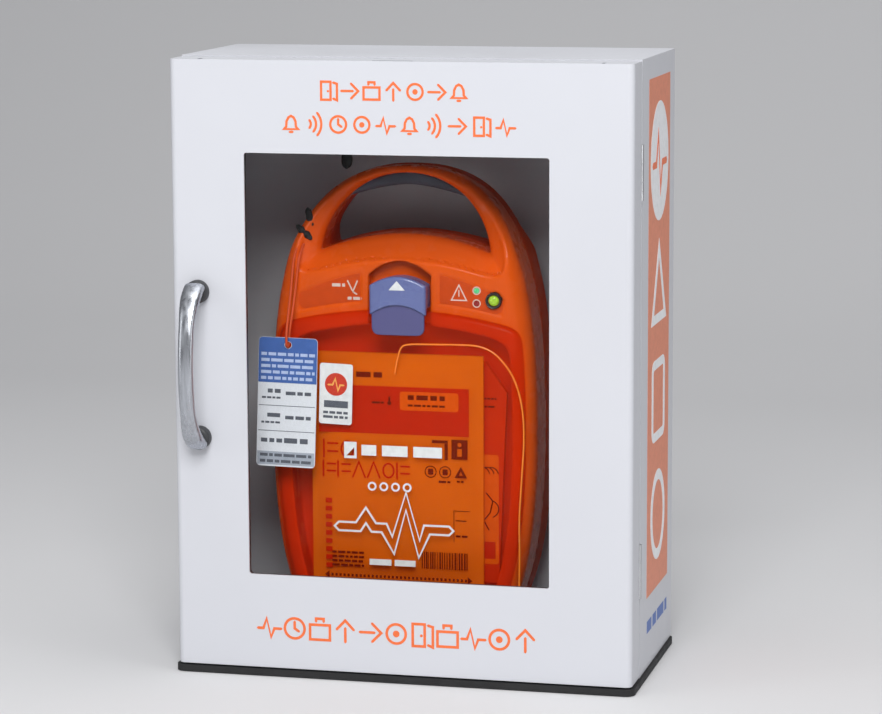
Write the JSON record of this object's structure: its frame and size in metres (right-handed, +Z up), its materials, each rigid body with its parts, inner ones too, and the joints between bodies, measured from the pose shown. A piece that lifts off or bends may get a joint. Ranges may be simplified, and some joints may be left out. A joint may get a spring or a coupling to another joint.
{
  "type": "wall-cabinet defibrillator",
  "caption": "Portable defibrillator with an arched handle and a tinted lid, stored in an alarmed wall cabinet with a hinged glazed door.",
  "frame": {"origin": "bottom centre of the bounding box, on the underside of the rubber base mat", "axes": "+X to the viewer's right, +Y from the door into the cabinet, +Z up"},
  "size_m": [0.346, 0.204, 0.455],
  "materials": {
    "white_paint": "satin powder coat",
    "black_rubber": "matt",
    "steel": "satin",
    "silver_plastic": "satin silver",
    "dark_plastic": "fine texture",
    "foam": "closed-cell foam",
    "clear_pane": "clear polycarbonate",
    "orange_plastic": "moulded, satin gloss",
    "red_lens": "translucent tinted plastic",
    "blue_plastic": "moulded, satin gloss",
    "grip_rubber": "soft-touch",
    "orange_foil": "heat-sealed foil",
    "red_foil": "heat-sealed foil",
    "white_plastic": "satin",
    "tag_card": "laminated card",
    "tag_cord": "braided cord",
    "green_lamp": "translucent, lit",
    "red_lamp": "translucent",
    "amber_plastic": "translucent",
    "circuit_board": "solder mask"
  },
  "bodies": {
    "cabinet": {"case_shell": "white_paint", "case_back": "white_paint", "base_mat": "black_rubber", "magnet_housing": "dark_plastic", "catch_magnet": "steel", "hinge_lower_case_leaf": "steel", "hinge_upper_case_leaf": "steel", "hinge_lower_pin": "steel", "hinge_upper_pin": "steel", "alarm_housing": "white_plastic", "alarm_grille": "dark_plastic", "alarm_speaker": "black_rubber", "alarm_battery": "dark_plastic", "alarm_lamp": "red_lamp", "unit_bracket": "white_paint", "bracket_pad": "foam"},
    "door": {"door_panel": "white_paint", "window_pane": "clear_pane", "window_retainer": "dark_plastic", "strike_plate": "steel", "door_bumper_upper": "black_rubber", "door_bumper_lower": "black_rubber", "door_handle": "silver_plastic", "handle_foot_upper": "dark_plastic", "handle_foot_lower": "dark_plastic", "hinge_lower_door_leaf": "steel", "hinge_upper_door_leaf": "steel", "plunger_strut": "dark_plastic"},
    "plunger": {"alarm_plunger": "dark_plastic"},
    "toggle": {"alarm_toggle": "red_lamp"},
    "unit": {"unit_front_shell": "orange_plastic", "unit_rear_shell": "orange_plastic", "battery_pack": "dark_plastic", "handle_grip": "grip_rubber", "status_bezel": "dark_plastic", "status_lens": "green_lamp", "lamp_green": "green_lamp", "lamp_red": "red_lamp", "pads_socket": "dark_plastic", "pads_plug": "white_plastic", "speaker_cone": "black_rubber", "circuit_board": "circuit_board", "capacitor": "steel", "pads_pouch": "orange_foil", "spare_pouch": "red_foil", "cord_tie_upper": "black_rubber", "cord_tie_lower": "black_rubber"},
    "lid": {"lid_shell": "red_lens", "lid_hinge_left": "dark_plastic", "lid_hinge_right": "dark_plastic"},
    "latch": {"latch_slider": "blue_plastic"},
    "shock_button": {"shock_button": "amber_plastic"},
    "mode_switch": {"mode_switch": "white_plastic"},
    "tag_lead": {"tag_cord": "tag_cord"},
    "tag": {"tag_card": "tag_card"}
  },
  "joints": [
    {"name": "door_hinge", "type": "hinge", "parent": "cabinet", "child": "door", "pos_m": [0.1705, -0.035, 0.23], "axis": [0, 0, 1], "range_deg": [0, 110]},
    {"name": "plunger_slide", "type": "slide", "parent": "cabinet", "child": "plunger", "axis": [0, -1, 0], "range_m": [0, 0.004]},
    {"name": "alarm_switch", "type": "slide", "parent": "cabinet", "child": "toggle", "axis": [1, 0, 0], "range_m": [0, 0.005]},
    {"name": "unit_lift", "type": "slide", "parent": "cabinet", "child": "unit", "axis": [0, 0, 1], "range_m": [0, 0.012]},
    {"name": "lid_hinge", "type": "hinge", "parent": "unit", "child": "lid", "pos_m": [-0.0175, 0.001, 0.0362], "axis": [1, 0, 0], "range_deg": [0, 3.5]},
    {"name": "latch_slide", "type": "slide", "parent": "lid", "child": "latch", "axis": [0, 0, 1], "range_m": [0, 0.006], "stiffness_N_per_m": 200},
    {"name": "shock_press", "type": "slide", "parent": "unit", "child": "shock_button", "axis": [0, 1, 0], "range_m": [0, 0.002], "stiffness_N_per_m": 800},
    {"name": "mode_slide", "type": "slide", "parent": "unit", "child": "mode_switch", "axis": [1, 0, 0], "range_m": [0, 0.01]},
    {"name": "lead_sway", "type": "hinge", "parent": "unit", "child": "tag_lead", "pos_m": [-0.094, 0.014, 0.314], "axis": [-1, 0, 0], "range_deg": [0, 13.3]},
    {"name": "tag_swing", "type": "hinge", "parent": "tag_lead", "child": "tag", "pos_m": [-0.1, -0.0092, 0.2385], "axis": [0, 1, 0], "range_deg": [-8, 8]}
  ],
  "couplings": [
    {"joint": "plunger_slide", "follows": "door_hinge", "m_per_rad": 0.002},
    {"joint": "lead_sway", "follows": "lid_hinge", "ratio": 3.8}
  ]
}
